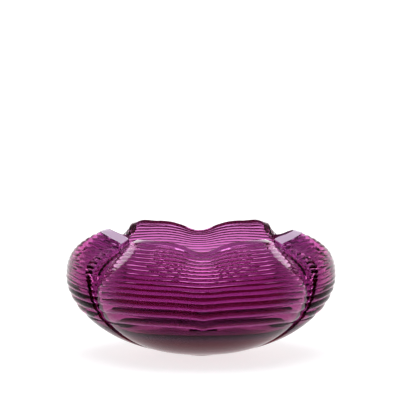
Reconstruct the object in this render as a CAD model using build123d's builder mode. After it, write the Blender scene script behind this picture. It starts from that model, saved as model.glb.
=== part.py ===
from build123d import *
from math import sin, cos, radians, exp
import os

os.makedirs("parts", exist_ok=True)

# Moulded glass bowl. Millimetres, +Z up, the front petal faces -Y.
# Origin: centre of the underside of the foot.
# Angles are in degrees round +Z, from the front (-Y) towards the right (+X).
# The mould is mirrored front to back and left to right, so only 0..90 is described.

FOOT_R, FOOT_H = 18.5, 1.9        # small ground foot
BOTTOM_R = 27.0                   # flat ring round the foot
WIDE_R, WIDE_Z = 125.2, 72.8      # widest ring of the body
BELLY_N = 1.87                    # roundness of the lower body
CUT_Z = 38.5                      # lowest rib, where the plain base begins
RIM_T = 8.3                       # width of the rim facet
TOP_Z = 112.4                     # nominal height of the rim
WALL = 7.6                        # wall at the widest ring
HEEL = 5.0                        # how much thicker the wall gets at the inside floor
FLOOR_Z = 24.0                    # middle of the inside floor
RIBS = 16                         # ribs from the base to the rim
PLEAT_A = 60.0                    # angle of the crest of each pleat
PETAL_A, SIDE_A = 36.0, 72.0      # where the front petal and the side petal nodes end

# angle, rim radius, rim height (outer edge of the rim facet)
RIM = [(0, 88.6, 103.0), (3, 88.7, 103.3), (6, 88.9, 104.7), (12, 90.2, 108.5), (20, 92.0, 111.6),
       (27, 92.8, 112.5), (38, 91.8, 112.2), (46, 88.6, 111.2), (51, 85.0, 109.6),
       (54.5, 82.6, 106.2), (56.5, 82.8, 103.2), (58, 83.4, 102.4), (61.5, 83.4, 102.4),
       (63.5, 82.6, 103.2), (65.2, 81.8, 106.0), (76, 86.4, 109.4), (84, 91.4, 112.0),
       (90, 93.8, 113.0)]
# angle, rise of the facet's inner edge
LIFT = [(0, 2.25), (45, 2.25), (58, 3.15), (66, 4.75), (72, 4.55), (80, 3.55), (90, 2.55)]
# angle, how much the wall is a shelf below a steep lip
SHELF = [(0, 0), (60, 0), (64, 1.0), (74, 1.0), (82, 0.5), (89, 0), (90, 0)]
# degrees from the crest, how much of the crest's flatter profile is mixed in
FOLD = [(0, 1.0), (5, 0.95), (10, 0.75), (20, 0.38), (30, 0.04), (60, 0.0)]
# height share, degrees from the crest to the front petal's edge, and to the side petal's edge
EDGE = [(-1.0, 1.6, 3.0), (-0.38, 1.6, 2.2), (-0.25, 3.2, 2.0), (-0.09, 5.6, 1.8), (0.04, 8.2, 2.0),
        (0.21, 12.0, 3.4), (0.39, 17.0, 6.2), (0.56, 21.0, 8.6), (0.76, 23.6, 10.6),
        (0.92, 22.5, 9.5), (1.0, 7.5, 5.2)]
# height share, depth of the fold on the front side of the crest, and on its other side
DEEP = [(-1.0, 0.0, 0.0), (-0.7, 0.0, 1.6), (-0.35, 0.6, 3.0), (0.0, 4.4, 3.8), (0.35, 6.4, 4.6),
        (0.75, 5.2, 3.8), (1.0, 0.0, 0.0)]
# angle from the front, small height differences of the finished rim
HAND = [(0, 0), (100, 0), (128, 1.0), (133, 2.6), (140, 2.2), (153, -0.4), (170, -0.8), (180, -0.8)]


def table(rows, x, col=1):
    """Smooth curve through the rows of a table, with no overshoot."""
    x = min(max(x, rows[0][0]), rows[-1][0])
    i = next(k for k in range(len(rows) - 1) if x <= rows[k + 1][0])
    rise = [(q[col] - p[col]) / (q[0] - p[0]) for p, q in zip(rows, rows[1:])]

    def slope(k):
        if k in (0, len(rows) - 1) or rise[k - 1] * rise[k] <= 0:
            return 0.0
        return 2 * rise[k - 1] * rise[k] / (rise[k - 1] + rise[k])

    h = rows[i + 1][0] - rows[i][0]
    s = (x - rows[i][0]) / h
    lift = (rows[i + 1][col] - rows[i][col]) * s * s * (3 - 2 * s)
    bend = slope(i) * (1 - s) - slope(i + 1) * s
    return rows[i][col] + lift + h * s * (1 - s) * bend


def quadrant(angle):
    a = abs((angle + 180) % 360 - 180)
    return min(a, 180 - a)


def hand(angle, z):
    """The rim was finished by hand: the back corners and the left side stand a little higher."""
    turn = (angle + 180) % 360 - 180
    tall = min(max((z - 84) / 28, 0.0), 1.0) ** 1.5
    side = exp(-((abs(turn) - 82) / 16) ** 2) * (1.3 if turn < 0 else -0.6)
    return z + tall * (table(HAND, abs(turn)) + side)


def widest(a):
    if a < PLEAT_A:
        return WIDE_R * (1 - 0.060 * (a / PLEAT_A) ** 4 - 0.008 * cos(radians(3 * a)) ** 2)
    return WIDE_R * (1 - 0.060 * ((90 - a) / 30) ** 3)


def share_of(z):
    """-1 at the foot, 0 at the widest ring, 1 at the rim."""
    return (z - WIDE_Z) / ((WIDE_Z - FOOT_H) if z < WIDE_Z else (TOP_Z - WIDE_Z))


def valley(a, share):
    """Folds like overlapping scales: each falls quickly at its edge, then rises steeply."""
    if a < PLEAT_A:
        t = 1 - min((PLEAT_A - a) / table(EDGE, share, 1), 1.0)
        return min(1 - (1 - min(t / 0.70, 1.0)) ** 2.2, (1 - t) / 0.30) * table(DEEP, share, 1)
    t = min((a - PLEAT_A) / table(EDGE, share, 2), 1.0)
    return min(1 - (1 - min(t / 0.68, 1.0)) ** 1.6, (1 - t) / 0.32) * table(DEEP, share, 2)


def bezier(p, s):
    k = ((1 - s) ** 3, 3 * (1 - s) ** 2 * s, 3 * (1 - s) * s * s, s ** 3)
    return tuple(sum(w * q[i] for w, q in zip(k, p)) for i in (0, 1))


def upper(a, s, inside=False):
    """Plain wall from the widest ring (0) to the rim (1)."""
    mix, shelf = table(FOLD, abs(a - PLEAT_A)), table(SHELF, a)
    w, rr, rz = widest(a), table(RIM, a, 1), table(RIM, a, 2)
    h = rz - WIDE_Z
    c1 = (w, WIDE_Z + h * (0.66 - 0.28 * mix + 0.24 * shelf))
    c2 = (rr + (w - rr) * (0.50 - 0.10 * mix - 0.38 * shelf),
          WIDE_Z + h * (0.80 + 0.03 * mix - 0.08 * shelf))
    if not inside:
        return bezier([(w, WIDE_Z), c1, c2, (rr, rz)], s)
    c1 = (c1[0] - WALL, c1[1] - 3.0)
    c2 = (c2[0] - WALL, c2[1] - 2.5)
    r, z = bezier([(w - WALL, WIDE_Z), c1, c2, (rr - RIM_T, rz + table(LIFT, a))], s)
    return r - 0.5 * valley(a, s), z


def belly(a, z):
    """Outside radius of the plain wall below the widest ring."""
    v = (z - FOOT_H) / (WIDE_Z - FOOT_H)
    return FOOT_R + (widest(a) - FOOT_R) * (1 - (1 - v) ** BELLY_N) ** (1 / BELLY_N)


def inner_belly(a, z):
    """Inside radius below the widest ring; the same all round at the lowest rib."""
    v = (WIDE_Z - z) / (WIDE_Z - CUT_Z)
    here = belly(a, z) - belly(PLEAT_A, z)
    return belly(PLEAT_A, z) - WALL - HEEL * v * v + here * min(1.0, (1 - v) * 4)


def outside(a, z):
    """Outside radius of the plain wall at height z."""
    if z <= WIDE_Z:
        return belly(a, z)
    lo, hi = 0.0, 1.0
    for _ in range(30):
        s = (lo + hi) / 2
        lo, hi = (s, hi) if upper(a, s)[1] < z else (lo, s)
    return upper(a, (lo + hi) / 2)[0]


def sag(a, z):
    """How far a rib hangs below its nominal height z."""
    up = min(max((z - 84) / 28, 0.0), 1.0)
    follow = min(max((z - 80) / (TOP_Z - 80), 0.0), 1.0) ** 1.6 * (TOP_Z - table(RIM, a, 2))
    crease = 1.8 * exp(-(a / 9) ** 2) * (1 - 0.4 * up)
    fold = 3.2 * exp(-((a - PLEAT_A) / 12) ** 2) * (1 - up)
    cusp = 1.6 * exp(-(a / 2.4) ** 2 - ((z - 42) / 12) ** 2)
    return follow + (crease + fold + cusp) * min((z - CUT_Z) / 8, (TOP_Z - z) / 8, 1.0)


def rib_mark(u):
    """Nominal height of the ribs, closer together towards the rim; u runs from 0 to 1."""
    return CUT_Z + (TOP_Z - CUT_Z) * (1 - (1 - u) ** (1.35 + 1.1 * (1 - u) ** 2))


def rib_chain(a):
    """Grooves and tops of the ribs of one upright section."""
    def point(mark):
        z = mark - sag(a, mark)
        return outside(a, z) - valley(a, share_of(mark)), z

    marks = [rib_mark(k / RIBS) for k in range(RIBS + 1)]
    chain = []
    for m, n in zip(marks, marks[1:]):
        deep = 0.35 + 0.10 * max(n - m, 3.3)
        g, h, top = point(m), point(n), point((m + n) / 2)
        chain.append([(g[0] - deep, g[1]), top, (h[0] - deep, h[1])])
    for low, high in zip(chain, chain[1:]):
        low[2] = high[0]
    return chain


def radial_plane(angle):
    t = radians(angle)
    return Plane(origin=(0, 0, 0), x_dir=(sin(t), -cos(t), 0), z_dir=(-cos(t), -sin(t), 0))


def wall_part(angles):
    """Ribbed wall through a fan of upright sections."""
    with BuildPart() as part:
        for angle in angles:
            a = quadrant(angle)
            chain = [[(r, hand(angle, z)) for r, z in c] for c in rib_chain(a)]
            zs = [CUT_Z + (WIDE_Z - CUT_Z) * i / 4 for i in range(4)]
            inner = [(inner_belly(a, z), z) for z in zs]
            inner += [upper(a, i / 6, True) for i in range(7)]
            inner = [(r, hand(angle, z)) for r, z in inner]
            with BuildSketch(radial_plane(angle)):
                with BuildLine():
                    for g, top, h in chain:
                        ThreePointArc(g, top, h)
                    Line(chain[-1][2], inner[-1])
                    Spline(*reversed(inner))
                    Line(inner[0], chain[0][0])
                make_face()
        loft(ruled=True)
    return part


FRONT_STEPS = (0, 3, 6, 9, 12, 16, 20, 24, 28, 32, PETAL_A)
SIDE_STEPS = (0, 4, 8, 12, 15, 90 - SIDE_A)
PLEAT_STEPS = (PETAL_A, 38.5, 41, 43.5, 46, 48.5, 51, 53, 55, 57, 59, PLEAT_A,
               61, 62.5, 64.5, 65.5, 67, 68.5, 70, SIDE_A)


def both_sides(centre, steps):
    return [centre - s for s in reversed(steps[1:])] + [centre + s for s in steps]


front_petal = wall_part(both_sides(0, FRONT_STEPS))
front_petal.part.label = "front_petal"
export_step(front_petal.part, "parts/front_petal.step")

back_petal = wall_part(both_sides(180, FRONT_STEPS))
back_petal.part.label = "back_petal"
export_step(back_petal.part, "parts/back_petal.step")

right_petal = wall_part(both_sides(90, SIDE_STEPS))
right_petal.part.label = "right_petal"
export_step(right_petal.part, "parts/right_petal.step")

left_petal = wall_part(both_sides(270, SIDE_STEPS))
left_petal.part.label = "left_petal"
export_step(left_petal.part, "parts/left_petal.step")

front_right_pleat = wall_part(PLEAT_STEPS)
front_right_pleat.part.label = "front_right_pleat"
export_step(front_right_pleat.part, "parts/front_right_pleat.step")

back_right_pleat = wall_part([180 - s for s in reversed(PLEAT_STEPS)])
back_right_pleat.part.label = "back_right_pleat"
export_step(back_right_pleat.part, "parts/back_right_pleat.step")

back_left_pleat = wall_part([180 + s for s in PLEAT_STEPS])
back_left_pleat.part.label = "back_left_pleat"
export_step(back_left_pleat.part, "parts/back_left_pleat.step")

front_left_pleat = wall_part([360 - s for s in reversed(PLEAT_STEPS)])
front_left_pleat.part.label = "front_left_pleat"
export_step(front_left_pleat.part, "parts/front_left_pleat.step")


with BuildPart() as bowl_base:
    for z in (FOOT_H, 2.8, 5.0, 9.0, 15.0, 22.0, 30.0, CUT_Z):
        ring = []
        for i in range(144):
            t, a = radians(2.5 * i), quadrant(2.5 * i)
            r = max(BOTTOM_R, belly(a, z) - valley(a, share_of(z)) - 0.8)
            ring.append((r * sin(t), -r * cos(t)))
        with BuildSketch(Plane.XY.offset(z)):
            with BuildLine():
                Spline(*ring, periodic=True)
            make_face()
    loft()
    well = inner_belly(0, CUT_Z)
    with BuildSketch(Plane.XZ):
        with BuildLine():
            Spline(*[(well * s, FLOOR_Z + (CUT_Z - FLOOR_Z) * s ** 6) for s in (0, 0.4, 0.6, 0.75, 0.87, 0.95, 1)])
            Line((well, CUT_Z), (well, CUT_Z + 5))
            Line((well, CUT_Z + 5), (0, CUT_Z + 5))
            Line((0, CUT_Z + 5), (0, FLOOR_Z))
        make_face()
    revolve(axis=Axis.Z, mode=Mode.SUBTRACT)
bowl_base.part.label = "bowl_base"
export_step(bowl_base.part, "parts/bowl_base.step")

with BuildPart() as foot:
    Cylinder(FOOT_R, FOOT_H, align=(Align.CENTER, Align.CENTER, Align.MIN))
    chamfer(foot.faces().sort_by(Axis.Z)[0].edges(), 0.4)
foot.part.label = "foot"
export_step(foot.part, "parts/foot.step")
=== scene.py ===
import math
import bpy
import numpy as np
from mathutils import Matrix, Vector


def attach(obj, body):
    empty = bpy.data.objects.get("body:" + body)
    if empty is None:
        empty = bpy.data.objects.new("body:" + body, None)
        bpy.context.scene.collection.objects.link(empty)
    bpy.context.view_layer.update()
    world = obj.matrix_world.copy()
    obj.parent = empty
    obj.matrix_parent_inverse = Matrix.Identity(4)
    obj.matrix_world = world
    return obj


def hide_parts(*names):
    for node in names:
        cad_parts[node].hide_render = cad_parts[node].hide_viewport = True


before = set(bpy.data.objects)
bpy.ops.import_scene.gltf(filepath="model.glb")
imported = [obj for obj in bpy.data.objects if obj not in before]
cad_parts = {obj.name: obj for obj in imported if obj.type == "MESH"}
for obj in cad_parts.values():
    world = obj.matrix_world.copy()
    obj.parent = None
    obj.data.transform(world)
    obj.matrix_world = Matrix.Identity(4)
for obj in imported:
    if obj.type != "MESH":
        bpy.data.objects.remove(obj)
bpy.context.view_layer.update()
MM = 0.001

# ---------------------------------------------------------------- sizes, in millimetres and degrees
# Angles run from the middle of the front petal, 0, to the middle of the side petal, 90.
# "Share" is the height above the widest level: -1 at the foot, 0 at that level, 1 at the rim.
FOOT_R, FOOT_H = 18.5, 1.9
WIDE_R, WIDE_Z = 125.0, 72.8
TOP_Z = 112.4
BELLY_N = 1.87                   # exponent of the rounded lower wall
PLEAT_A = 60.0                   # angle of the crest between the two petals
RIM_T = 8.3                      # width of the rim facet
WALL = 7.6
WELL_THICKER = 5.0               # added to the wall where the inside floor begins
FLOOR_Z, WELL_Z = 24.0, 34.0     # inside floor, at its middle and at its edge
CUT_Z = 38.5                     # lower edge of the lowest rib
RIB_H = 0.8
RIBS = 16
LEVEL_Z = 84.0                   # ribs below this are level, those above follow the rim
BASE_ROWS, UPPER_ROWS = 31, 110
INSIDE_ROWS, BELLY_ROWS, FLOOR_ROWS = 28, 16, 20

# angle, rim radius, rim height
RIM = np.array([
    (0, 88.6, 103.0), (3, 88.7, 103.3), (6, 88.9, 104.7), (12, 90.2, 108.5), (20, 92.0, 111.6),
    (27, 92.8, 112.5), (38, 91.8, 112.2), (46, 88.6, 111.2), (51, 85.0, 109.6),
    (54.5, 82.6, 106.2), (56.5, 82.8, 103.2), (58, 83.4, 102.4), (61.5, 83.4, 102.4),
    (63.5, 82.6, 103.2), (65.2, 81.8, 106.0), (76, 86.4, 109.4), (84, 91.4, 112.0),
    (90, 93.8, 113.0)])
# angle, rise of the rim facet from its outer edge to its inner edge
LIFT = np.array([(0, 2.1), (45, 2.1), (58, 3.0), (66, 4.6), (72, 4.4), (80, 3.4), (90, 2.4)])
# angle, how far the shoulder of the side petal is drawn in under the rim
SHELF = np.array([(0, 0), (60, 0), (64, 1.0), (74, 1.0), (82, 0.5), (89, 0), (90, 0)])
# degrees from the crest, how much lower and flatter the shoulder is
FOLD = np.array([(0, 1.0), (5, 0.95), (10, 0.75), (20, 0.38), (30, 0.04), (60, 0.0)])
# share, degrees from the crest to the front petal's edge, and to the side petal's edge
EDGE = np.array([
    (-1.0, 1.6, 3.0), (-0.38, 1.6, 2.2), (-0.25, 3.2, 2.0), (-0.09, 5.6, 1.8), (0.04, 8.2, 2.0),
    (0.21, 12.0, 3.4), (0.39, 17.0, 6.2), (0.56, 21.0, 8.6), (0.76, 23.6, 10.6),
    (0.92, 22.5, 9.5), (1.0, 7.5, 5.2)])
# share, depth of the valley on the front side of the crest, and on its other side
DEEP = np.array([
    (-1.0, 0.0, 0.0), (-0.7, 0.0, 1.6), (-0.35, 0.6, 3.0), (0.0, 4.4, 3.8), (0.35, 6.4, 4.6),
    (0.75, 6.4, 3.8), (0.92, 4.6, 2.6), (1.0, 0.0, 0.0)])
# degrees round from the front, height left over by finishing the rim by hand
HAND = np.array([
    (0, 0), (90, 0), (96, -1.5), (102, -3.6), (108, -5.0), (114, -5.0), (118, -2.5),
    (122, -0.5), (128, 1.0), (133, 2.6), (140, 2.2), (153, -0.4), (170, -0.8), (180, -0.8)])
# where a valley is deepest, as a part of the way from the petal's edge to the crest
FRONT_TURN, SIDE_TURN = 0.70, 0.68


# ---------------------------------------------------------------- shape of one quarter
def table(rows, x, col=1):
    """Smooth curve through the rows of a table, with no overshoot."""
    xs, ys = rows[:, 0], rows[:, col]
    x = np.clip(x, xs[0], xs[-1])
    rise = np.diff(ys) / np.diff(xs)
    slope = np.zeros(len(xs))
    for k in range(1, len(xs) - 1):
        if rise[k - 1] * rise[k] > 0:
            slope[k] = 2 * rise[k - 1] * rise[k] / (rise[k - 1] + rise[k])
    i = np.clip(np.searchsorted(xs, x, side="right") - 1, 0, len(xs) - 2)
    h = xs[i + 1] - xs[i]
    s = (x - xs[i]) / h
    return (ys[i] + (ys[i + 1] - ys[i]) * s * s * (3 - 2 * s)
            + h * s * (1 - s) * (slope[i] * (1 - s) - slope[i + 1] * s))


def bell(x, width):
    return np.exp(-(x / width) ** 2)


def widest(a):
    """Radius at the widest level, a little less near the crests and between the lobes."""
    lobes = 0.008 * np.cos(np.radians(3 * a)) ** 2
    front = WIDE_R * (1 - 0.060 * (a / PLEAT_A) ** 4 - lobes)
    side = WIDE_R * (1 - 0.060 * (np.abs(90 - a) / 30) ** 3)
    return np.where(a < PLEAT_A, front, side)


def valley(a, share):
    """Folds like overlapping scales: each falls gently outward, then rises steeply to the next."""
    front = 1 - np.clip((PLEAT_A - a) / table(EDGE, share, 1), 0, 1)
    side = np.clip((a - PLEAT_A) / table(EDGE, share, 2), 0, 1)
    fall_f = 1 - (1 - np.minimum(front / FRONT_TURN, 1)) ** 2.2
    fall_s = 1 - (1 - np.minimum(side / SIDE_TURN, 1)) ** 1.6
    f = np.minimum(fall_f, (1 - front) / (1 - FRONT_TURN)) * table(DEEP, share, 1)
    g = np.minimum(fall_s, (1 - side) / (1 - SIDE_TURN)) * table(DEEP, share, 2)
    return np.where(a < PLEAT_A, f, g)


def bezier(p0, p1, p2, p3, s):
    return ((1 - s) ** 3 * p0 + 3 * (1 - s) ** 2 * s * p1
            + 3 * (1 - s) * s * s * p2 + s ** 3 * p3)


def rails(a):
    """Corner points of the upper wall's curve: widest level, rim, and the two between them."""
    mix, shelf = table(FOLD, np.abs(a - PLEAT_A)), table(SHELF, a)
    w, rr, rz = widest(a), table(RIM, a, 1), table(RIM, a, 2)
    h = rz - WIDE_Z
    z1 = WIDE_Z + h * (0.66 - 0.28 * mix + 0.24 * shelf)
    r2 = rr + (w - rr) * (0.50 - 0.10 * mix - 0.38 * shelf)
    z2 = WIDE_Z + h * (0.80 + 0.03 * mix - 0.08 * shelf)
    return w, rr, rz, w, z1, r2, z2


def upper(a, s):
    w, rr, rz, r1, z1, r2, z2 = rails(a)
    return bezier(w, r1, r2, rr, s), bezier(WIDE_Z, z1, z2, rz, s)


def upper_in(a, s):
    """The same curve on the inside of the wall."""
    w, rr, rz, r1, z1, r2, z2 = rails(a)
    return (bezier(w - WALL, r1 - WALL, r2 - WALL, rr - RIM_T, s),
            bezier(WIDE_Z, z1 - 3.0, z2 - 2.5, rz + table(LIFT, a), s))


def belly(a, z):
    """Radius of the lower wall."""
    v = (z - FOOT_H) / (WIDE_Z - FOOT_H)
    return FOOT_R + (widest(a) - FOOT_R) * (1 - (1 - v) ** BELLY_N) ** (1 / BELLY_N)


def share_of(z):
    return (z - WIDE_Z) / (WIDE_Z - FOOT_H if z < WIDE_Z else TOP_Z - WIDE_Z)


def columns(share):
    """Angles of one quarter of the bowl; the columns follow the folds."""
    e, g = (float(table(EDGE, np.array(share), k)) for k in (1, 2))
    stops = [(0, 54), (PLEAT_A - e, 5), (PLEAT_A - 0.75 * e, 6),
             (PLEAT_A - (1 - FRONT_TURN) * e, 6), (PLEAT_A, 7),
             (PLEAT_A + SIDE_TURN * g, 4), (PLEAT_A + g, 30), (90, 0)]
    part = [np.linspace(p[0], q[0], p[1] + 1)[:-1] for p, q in zip(stops, stops[1:])]
    return np.concatenate(part + [np.array([90.0])])


def rise_to(a, z):
    """How far up the upper wall (0 to 1) the height z is, at each angle."""
    _, _, rz, _, z1, _, z2 = rails(a)
    lo, hi = np.zeros_like(a), np.ones_like(a)
    for _ in range(26):
        s = (lo + hi) / 2
        under = bezier(WIDE_Z, z1, z2, rz, s) < z
        lo, hi = np.where(under, s, lo), np.where(under, hi, s)
    return (lo + hi) / 2


def smooth_wall(a, z):
    """Radius of the plain outside wall at height z."""
    low = belly(a, np.minimum(z, WIDE_Z))
    high, _ = upper(a, rise_to(a, np.maximum(z, WIDE_Z)))
    return np.where(z <= WIDE_Z, low, high)


def sag(a, z):
    """How far a rib hangs below its nominal height."""
    up = np.clip((z - LEVEL_Z) / 28.0, 0, 1)
    follow = np.clip((z - 80.0) / 32.0, 0, 1) ** 1.6 * 0.75 * (TOP_Z - table(RIM, a, 2))
    crease = 1.8 * bell(a, 9.0) * (1 - 0.4 * up)
    fold = 3.2 * bell(a - PLEAT_A, 12.0) * (1 - up)
    cusp = 1.6 * bell(a, 2.4) * bell(z - 42.0, 12.0)
    return follow + crease + fold + cusp


def rib_mark(u):
    """Height of a groove; the ribs get narrower towards the rim."""
    return CUT_Z + (TOP_Z - CUT_Z) * (1 - (1 - u) ** (1.35 + 1.1 * (1 - u) ** 2))


marks = np.array([rib_mark(k / RIBS) for k in range(RIBS + 1)])


def rib(a, z):
    """Height of the rib surface at height z: rounded beads, sharp grooves."""
    z0 = z.copy()
    for _ in range(8):
        z0 = z + sag(a, z0)
    k = np.clip(np.searchsorted(marks, z0, side="right") - 1, 0, RIBS - 1)
    pitch = marks[k + 1] - marks[k]
    p = np.clip((z0 - marks[k]) / pitch, 0, 1)
    high = 0.35 + 0.10 * np.maximum(pitch, 3.3)
    return high * (1 - (2 * p - 1) ** 2) - high


# ---------------------------------------------------------------- rows, foot to rim to inside floor
rows = []        # one (angle, radius, height) after another, each an array over the columns


def add(a, r, z):
    rows.append((a, r + 0 * a, z + 0 * a))


def wall_row(a, z, share):
    """One row of the ribbed wall, raised by its rib at a right angle to the plain wall."""
    r = smooth_wall(a, z)
    dz = 0.25
    top = table(RIM, a, 2)
    above = np.minimum(z + dz, top - 0.01)
    dr = smooth_wall(a, above) - smooth_wall(a, above - 2 * dz)
    d = np.hypot(dr, 2 * dz)
    h = rib(a, z)
    seam = 0.9 * bell(a, 2.2) * max(0.0, 1 - (share / 0.6) ** 2)
    lip = 1.2 * bell(top - z - 0.8, 0.9)
    add(a, r - valley(a, share) - seam - lip + h * 2 * dz / d, z - h * dr / d)


# foot: flat ground face, small rounded edge
for r, z in ((6.0, 0.0), (12.0, 0.0), (17.6, 0.0), (18.1, 0.12), (FOOT_R, 0.6),
             (FOOT_R, FOOT_H - 0.35), (FOOT_R + 0.35, FOOT_H)):
    add(columns(-1), r, z)
# plain base
for k in range(1, BASE_ROWS):
    z = FOOT_H + 0.02 + (CUT_Z - FOOT_H) * (k / BASE_ROWS) ** 1.9
    share = share_of(z)
    a = columns(share)
    add(a, np.maximum(belly(a, z) - valley(a, share) - RIB_H, FOOT_R + 0.5 + 0.5 * k), z)

# level ribs, with more rows near the grooves
STEPS = (0.0, 0.05, 0.16, 0.32, 0.5, 0.68, 0.84, 0.95)
for z0, z1 in zip(marks, marks[1:]):
    if z1 > LEVEL_Z:
        break
    for p in STEPS:
        z = z0 + (z1 - z0) * p
        share = share_of(z)
        a = columns(share)
        wall_row(a, z - sag(a, z), share)
# from the last level groove up to the rim
for i in range(UPPER_ROWS):
    f = i / UPPER_ROWS
    f = f + 0.16 * math.sin(math.pi * f) ** 2
    share = (z0 + (TOP_Z - z0) * f - WIDE_Z) / (TOP_Z - WIDE_Z)
    a = columns(share)
    start = z0 - sag(a, z0)
    wall_row(a, start + (table(RIM, a, 2) - start) * f, share)

# rim facet, with small rounded edges
a = columns(1)
rim_r, rim_z, lift = table(RIM, a, 1), table(RIM, a, 2), table(LIFT, a)
add(a, rim_r + 0.05, rim_z - 0.35)
facet_from = len(rows)
add(a, rim_r - 0.15, rim_z - 0.02)
for s in (0.06, 0.35, 0.65, 0.94):
    add(a, rim_r - RIM_T * s, rim_z + lift * s)
facet_to = len(rows) - 1
add(a, rim_r - RIM_T + 0.05, rim_z + lift - 0.1)

# smooth inside: upper wall, lower wall, floor
for k in range(1, INSIDE_ROWS + 1):
    s = 1 - k / INSIDE_ROWS
    a = columns(s)
    r, z = upper_in(a, s)
    add(a, r - 0.5 * valley(a, s), z)
for k in range(1, BELLY_ROWS + 1):
    v = k / BELLY_ROWS
    a = columns(-0.5 * v)
    z = WIDE_Z + (WELL_Z - WIDE_Z) * v
    add(a, belly(a, z) - WALL - WELL_THICKER * v * v, z)
for k in range(1, FLOOR_ROWS + 1):
    s = 1 - (k / FLOOR_ROWS) ** 1.5
    edge = belly(a, WELL_Z) - WALL - WELL_THICKER
    add(a, edge * s, FLOOR_Z + (WELL_Z - FLOOR_Z) * s ** 6)


# ---------------------------------------------------------------- the whole bowl
def hand(x, y, z):
    """Small height differences left by finishing the rim by hand."""
    around = np.degrees(np.arctan2(np.abs(x), -y))
    tall = np.clip((z - LEVEL_Z) / 28, 0, 1) ** 1.5
    side = bell(around - 82, 16) * np.where(x < 0, 1.3, -0.6)
    return z + tall * (table(HAND, around) + side)


def ring(a, r, z):
    """All the way round from one quarter, mirrored twice."""
    q = np.radians(a)
    x, y = r * np.sin(q), -r * np.cos(q)
    half_x = np.concatenate([x, x[:-1][::-1]])
    half_y = np.concatenate([y, -y[:-1][::-1]])
    half_z = np.concatenate([z, z[:-1][::-1]])
    full_x = np.concatenate([half_x, -half_x[1:-1][::-1]])
    full_y = np.concatenate([half_y, half_y[1:-1][::-1]])
    full_z = np.concatenate([half_z, half_z[1:-1][::-1]])
    return np.stack([full_x, full_y, hand(full_x, full_y, full_z)], 1)


rings = [ring(*row) for row in rows]
count = len(rings[0])
verts = np.concatenate(rings + [np.array([[0, 0, 0.0]]), np.array([[0, 0, FLOOR_Z]])]) * MM
faces = []
for j in range(len(rings) - 1):
    lo, hi = j * count, (j + 1) * count
    for i in range(count):
        k = (i + 1) % count
        faces.append((lo + i, lo + k, hi + k, hi + i))
under, floor_mid = len(verts) - 2, len(verts) - 1
last = (len(rings) - 1) * count
for i in range(count):
    k = (i + 1) % count
    faces.append((under, k, i))
    faces.append((floor_mid, last + i, last + k))

mesh = bpy.data.meshes.new("bowl_glass")
mesh.from_pydata(verts.tolist(), [], faces)
mesh.validate()
mesh.shade_smooth()
mesh.set_sharp_from_angle(angle=math.radians(20))

# ground and sheen: 1 on the rim facets of the side petals, taken as finely ground, so rougher;
# their pale lilac tint with less light let through is a painted sheen standing in for the light
# these flat facets reflect
GROUND_SHEEN_A = 64.5
ground_and_sheen = mesh.attributes.new("ground_and_sheen", "FLOAT", "FACE")
band = np.zeros(len(mesh.polygons))
around = columns(1)
quarter = np.clip((around[:-1] + around[1:]) / 2 - GROUND_SHEEN_A, 0, 1)
half = np.concatenate([quarter, quarter[::-1]])
for j in range(facet_from, facet_to):
    band[j * count:(j + 1) * count] = np.concatenate([half, half[::-1]])
ground_and_sheen.data.foreach_set("value", band)
# base shade: grows from 0 to 1 down the outside of the thick base; a painted shade that makes the
# base deeper red and less clear towards the foot, standing in for the dark the thick base shows
# near the floor
BASE_SHADE_TOP, BASE_SHADE_FADE = 32.0, 12.0
base_shade = mesh.attributes.new("base_shade", "FLOAT", "POINT")
depth = np.clip((BASE_SHADE_TOP - verts[:, 2] / MM) / BASE_SHADE_FADE, 0, 1)
depth[facet_from * count:under] = 0
depth[floor_mid] = 0
base_shade.data.foreach_set("value", depth * depth * (3 - 2 * depth))
bowl = bpy.data.objects.new("bowl_glass", mesh)
bpy.context.collection.objects.link(bowl)


def map_range(tree, source, to_min, to_max):
    node = tree.nodes.new("ShaderNodeMapRange")
    node.inputs["To Min"].default_value = to_min
    node.inputs["To Max"].default_value = to_max
    tree.links.new(source, node.inputs["Value"])
    return node


# ---------------------------------------------------------------- glass
# painted shade: the second tint darkens the outside of the thick base towards the foot
CLEAR_TINT, BASE_SHADE_TINT = (0.56, 0.27, 0.54, 1), (0.34, 0.0, 0.04, 1)
# painted sheen: pale lilac on the rim facets of the side petals, standing in for reflected light
FACET_SHEEN_TINT = (0.64, 0.53, 0.66, 1)
glass = bpy.data.materials.new("violet_glass")
glass.use_nodes = True
nt = glass.node_tree
bsdf = nt.nodes["Principled BSDF"]
bsdf.inputs["IOR"].default_value = 1.45
bsdf.inputs["Transmission Weight"].default_value = 1.0
bsdf.inputs["Specular Tint"].default_value = (0.26, 0.03, 0.20, 1)


def masked(name):
    node = nt.nodes.new("ShaderNodeAttribute")
    node.attribute_name = name
    return node.outputs["Fac"]


def tint_by(mask):
    node = nt.nodes.new("ShaderNodeMix")
    node.data_type = "RGBA"
    nt.links.new(mask, node.inputs["Factor"])
    return node


on_ground_sheen, on_base_shade = masked("ground_and_sheen"), masked("base_shade")
rough = map_range(nt, on_ground_sheen, 0.0, 0.30)
nt.links.new(rough.outputs["Result"], bsdf.inputs["Roughness"])
# painted shade: the outside of the thick base lets a little less light through towards the foot;
# painted sheen: the rim facets let much less through, so their pale tint shows
clear = map_range(nt, on_base_shade, 1.0, 0.74)
let_through = map_range(nt, on_ground_sheen, 1.0, 0.25)
nt.links.new(clear.outputs["Result"], let_through.inputs["To Min"])
nt.links.new(let_through.outputs["Result"], bsdf.inputs["Transmission Weight"])
# painted shade: deeper red down the outside of the base
base_shade_mix = tint_by(on_base_shade)
base_shade_mix.inputs["A"].default_value = CLEAR_TINT
base_shade_mix.inputs["B"].default_value = BASE_SHADE_TINT
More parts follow.
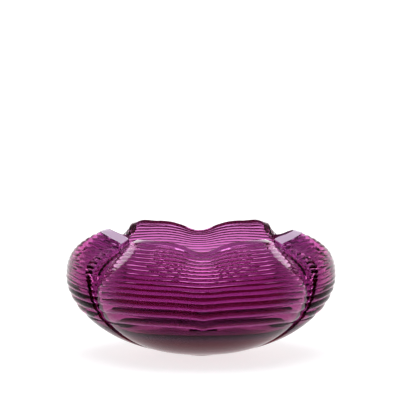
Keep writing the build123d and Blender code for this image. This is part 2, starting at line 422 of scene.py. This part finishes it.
# painted sheen: pale lilac mixed in on the rim facets
tint = tint_by(on_ground_sheen)
nt.links.new(base_shade_mix.outputs["Result"], tint.inputs["A"])
tint.inputs["B"].default_value = FACET_SHEEN_TINT
nt.links.new(tint.outputs["Result"], bsdf.inputs["Base Color"])
absorb = nt.nodes.new("ShaderNodeVolumeAbsorption")
absorb.inputs["Color"].default_value = (0.73, 0.17, 0.47, 1)
absorb.inputs["Density"].default_value = 78.0
nt.links.new(absorb.outputs["Volume"], nt.nodes["Material Output"].inputs["Volume"])
mesh.materials.append(glass)

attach(bowl, "root")
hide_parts("front_petal", "back_petal", "right_petal", "left_petal", "front_right_pleat",
            "front_left_pleat", "back_right_pleat", "back_left_pleat", "bowl_base", "foot")

# ---------------------------------------------------------------- floor
FLOOR_HALF = 30.0                # metres, so that its edge is out of sight
FLOOR_GAP = 0.0004               # keeps the floor just clear of the foot
floor_mesh = bpy.data.meshes.new("floor")
corners = [(x * FLOOR_HALF, y * FLOOR_HALF, 0) for x, y in ((-1, -1), (1, -1), (1, 1), (-1, 1))]
floor_mesh.from_pydata(corners, [], [(0, 1, 2, 3)])
floor = bpy.data.objects.new("floor", floor_mesh)
floor.location.z = -FLOOR_GAP
bpy.context.collection.objects.link(floor)
white = bpy.data.materials.new("floor_white")
white.use_nodes = True
paint = white.node_tree.nodes["Principled BSDF"].inputs
paint["Base Color"].default_value = (0.25, 0.25, 0.25, 1)
paint["Roughness"].default_value = 0.9
paint["Emission Color"].default_value = (1, 1, 1, 1)
paint["Emission Strength"].default_value = 0.80
floor_mesh.materials.append(white)

# ---------------------------------------------------------------- light: a soft studio all round
scene = bpy.context.scene
world = bpy.data.worlds.new("studio")
scene.world = world
world.use_nodes = True
wt = world.node_tree
bg = wt.nodes["Background"]
coord = wt.nodes.new("ShaderNodeTexCoord")
split = wt.nodes.new("ShaderNodeSeparateXYZ")
wt.links.new(coord.outputs["Generated"], split.inputs["Vector"])


def fade(socket, start, end, lo, hi):
    """Smooth change from lo to hi as the direction goes from start to end."""
    node = map_range(wt, socket, lo, hi)
    node.interpolation_type = "SMOOTHSTEP"
    node.inputs["From Min"].default_value = start
    node.inputs["From Max"].default_value = end
    return node.outputs["Result"]


def join(how, *sockets):
    node = wt.nodes.new("ShaderNodeMath")
    node.operation = how
    for k, socket in enumerate(sockets):
        wt.links.new(socket, node.inputs[k])
    return node.outputs["Value"]


x, y, z = (split.outputs[name] for name in "XYZ")
# a wide panel behind the bowl, dimmer above
panel = join("MULTIPLY", fade(y, -0.30, 0.60, 0.0, 1.5), fade(z, 0.34, 0.50, 1.0, 0.12))
# a softer panel at each side
flank = join("MULTIPLY", fade(join("ABSOLUTE", x), 0.45, 0.95, 0.0, 0.7),
             fade(z, 0.4, 0.7, 1.0, 0.3))
# a bright panel overhead, and a low level everywhere
overhead = fade(z, 0.84, 0.94, 0.22, 4.5)
wt.links.new(join("ADD", join("ADD", panel, flank), overhead), bg.inputs["Strength"])
bg.inputs["Color"].default_value = (1, 1, 1, 1)

# ---------------------------------------------------------------- camera
DIST, ELEV, AZ = 4.0, math.radians(8.2), math.radians(-1.0)
FRAME_PX, PX = 400, 0.0009277    # the frame's width, and the size of one of its pixels at DIST
AIM_UP, AIM_LEFT = 0.0862, 0.0009
cam_data = bpy.data.cameras.new("camera")
cam_data.sensor_width = 36.0
cam_data.lens = cam_data.sensor_width * DIST / (FRAME_PX * PX)
cam_data.clip_end = 100
cam = bpy.data.objects.new("camera", cam_data)
bpy.context.collection.objects.link(cam)
mid = np.array([0, 0, 0.056])
sin_a, cos_a, sin_e, cos_e = math.sin(AZ), math.cos(AZ), math.sin(ELEV), math.cos(ELEV)
back = np.array([sin_a * cos_e, -cos_a * cos_e, sin_e])
up = np.array([-sin_a * sin_e, cos_a * sin_e, cos_e])
right = np.array([cos_a, sin_a, 0])
eye = mid + back * DIST
aim = mid + up * AIM_UP - right * AIM_LEFT
cam.location = eye
cam.rotation_euler = Vector(aim - eye).to_track_quat("-Z", "Y").to_euler()
scene.camera = cam
scene.view_settings.view_transform = "Standard"
scene.view_settings.gamma = 0.78
# clear glass needs light to pass through many faces
scene.cycles.max_bounces = 24
scene.cycles.transmission_bounces = 24
scene.cycles.glossy_bounces = 12
scene.cycles.caustics_refractive = True
scene.cycles.caustics_reflective = True
